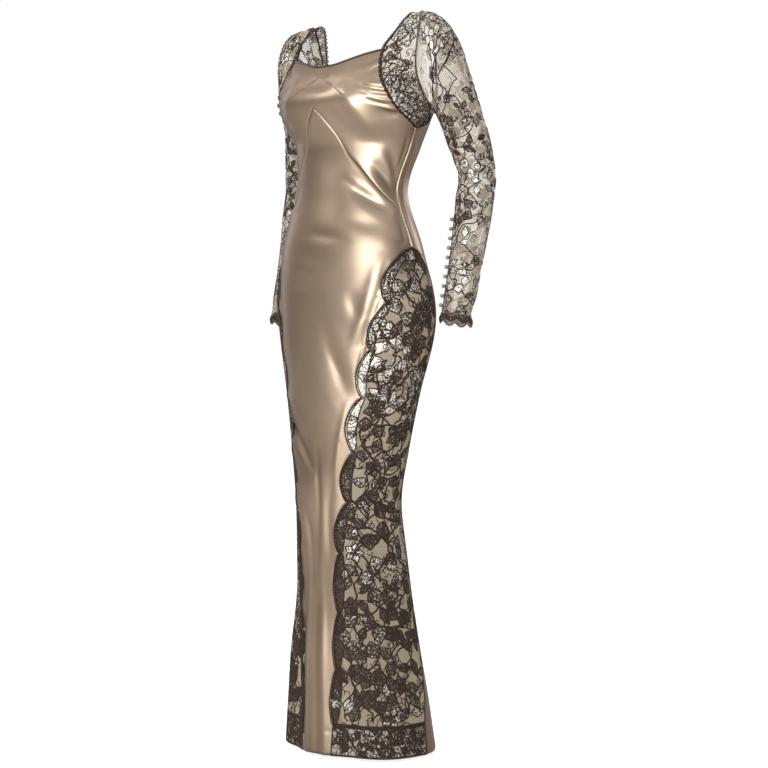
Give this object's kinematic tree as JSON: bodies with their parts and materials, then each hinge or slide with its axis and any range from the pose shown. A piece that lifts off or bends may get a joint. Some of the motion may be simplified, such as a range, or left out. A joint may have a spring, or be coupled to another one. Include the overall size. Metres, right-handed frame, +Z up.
{
  "type": "long-sleeved satin and lace evening gown",
  "caption": "Floor-length bias-cut satin evening gown on its hollow worn form, with lace yokes, long lace sleeves, covered buttons and scalloped lace side panels.",
  "frame": {"origin": "midway between the tops of the two shoulders, where the wearer holds the gown up", "axes": "+Z up, the front faces -Y, the wearer's left is +X"},
  "size_m": [0.561, 0.2643, 1.4495],
  "materials": {
    "bias_satin": "bias-cut charmeuse satin, soft sheen",
    "bias_satin_back": "bias-cut charmeuse satin, soft sheen",
    "corded_lace": "corded lace on a fine net",
    "lace_border": "corded lace on a fine net, stitched border",
    "satin_binding": "narrow satin binding",
    "covered_button": "satin-covered ball button"
  },
  "bodies": {
    "root": {"front_bodice": "bias_satin", "front_skirt": "bias_satin", "back_panel": "bias_satin_back", "neck_binding_front": "satin_binding", "neck_binding_back": "satin_binding", "yoke_front_left": "corded_lace", "yoke_back_left": "corded_lace", "sleeve_head_left": "corded_lace", "sleeve_upper_left": "corded_lace", "sleeve_lower_left": "corded_lace", "side_lace_left": "corded_lace", "hem_border_left": "lace_border", "button_placket_left": "satin_binding", "button_left_1": "covered_button", "button_left_2": "covered_button", "button_left_3": "covered_button", "button_left_4": "covered_button", "button_left_5": "covered_button", "button_left_6": "covered_button", "button_left_7": "covered_button", "button_left_8": "covered_button", "button_left_9": "covered_button", "button_left_10": "covered_button", "yoke_front_right": "corded_lace", "yoke_back_right": "corded_lace", "sleeve_head_right": "corded_lace", "sleeve_upper_right": "corded_lace", "sleeve_lower_right": "corded_lace", "side_lace_right": "corded_lace", "hem_border_right": "lace_border", "button_placket_right": "satin_binding", "button_right_1": "covered_button", "button_right_2": "covered_button", "button_right_3": "covered_button", "button_right_4": "covered_button", "button_right_5": "covered_button", "button_right_6": "covered_button", "button_right_7": "covered_button", "button_right_8": "covered_button", "button_right_9": "covered_button", "button_right_10": "covered_button"}
  },
  "joints": []
}
